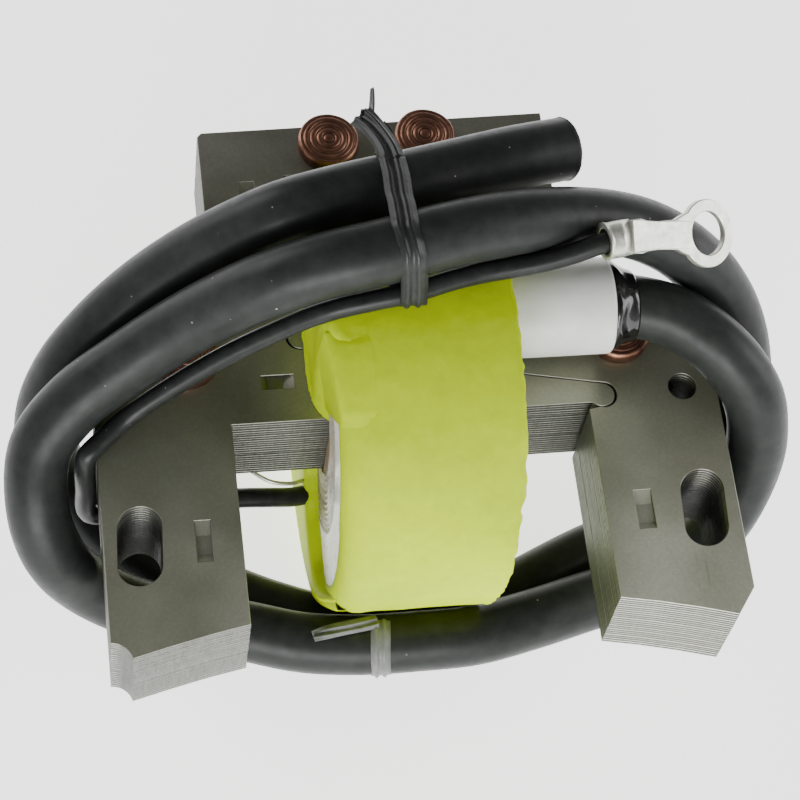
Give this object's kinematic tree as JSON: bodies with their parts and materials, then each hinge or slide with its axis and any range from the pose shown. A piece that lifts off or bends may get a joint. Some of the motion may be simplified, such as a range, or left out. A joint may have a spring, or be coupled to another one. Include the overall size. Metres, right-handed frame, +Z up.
{
  "type": "ignition coil",
  "caption": "Small-engine ignition coil: riveted laminated armature with two slotted legs, potted yellow coil, white boot, looped high-tension lead and a primary wire with ring terminal.",
  "frame": {"origin": "middle of the base of the armature and coil without the loose wires: halfway along X and Y, lowest point of the coil barrel", "axes": "+X along the core, towards the white boot; +Y away from the flywheel, towards the rear yoke; +Z up, out of the riveted side of the stack"},
  "size_m": [0.0884, 0.0654, 0.0594],
  "materials": {
    "stack_steel": "oiled dark stamped steel with lighter cut edges",
    "copper_rivet": "turned copper, slightly tarnished",
    "yellow_resin": "satin cast resin with flash at the edges",
    "bobbin_board": "matt board",
    "winding_copper": "enamelled fine wire",
    "winding_paper": "varnished paper",
    "clear_epoxy": "milky cast resin",
    "white_plastic": "smooth moulded plastic",
    "black_sealant": "glossy sealant",
    "contact_brass": "plain brass",
    "lead_rubber": "smooth dark jacket with dust",
    "wire_jacket": "smooth dark jacket",
    "tinned_metal": "tinned, slightly dull",
    "tie_plastic": "thin translucent grey plastic over wire"
  },
  "bodies": {
    "root": {"front_lamination_stack": "stack_steel", "back_lamination_stack": "stack_steel", "rivet_1": "copper_rivet", "rivet_2": "copper_rivet", "rivet_3": "copper_rivet", "rivet_4": "copper_rivet", "coil_overmould": "yellow_resin", "core_wedge": "yellow_resin", "bobbin_tube": "bobbin_board", "primary_winding": "winding_copper", "interlayer_insulation": "winding_paper", "secondary_winding": "winding_copper", "resin_fill": "clear_epoxy", "end_potting": "clear_epoxy", "ht_boot": "white_plastic", "ht_boot_seal": "black_sealant", "ht_contact_pin": "contact_brass", "ht_lead": "lead_rubber", "primary_wire": "wire_jacket", "ring_terminal": "tinned_metal", "primary_earth_wire": "tinned_metal", "twist_tie_top": "tie_plastic", "twist_tie_bottom": "tie_plastic"}
  },
  "joints": []
}
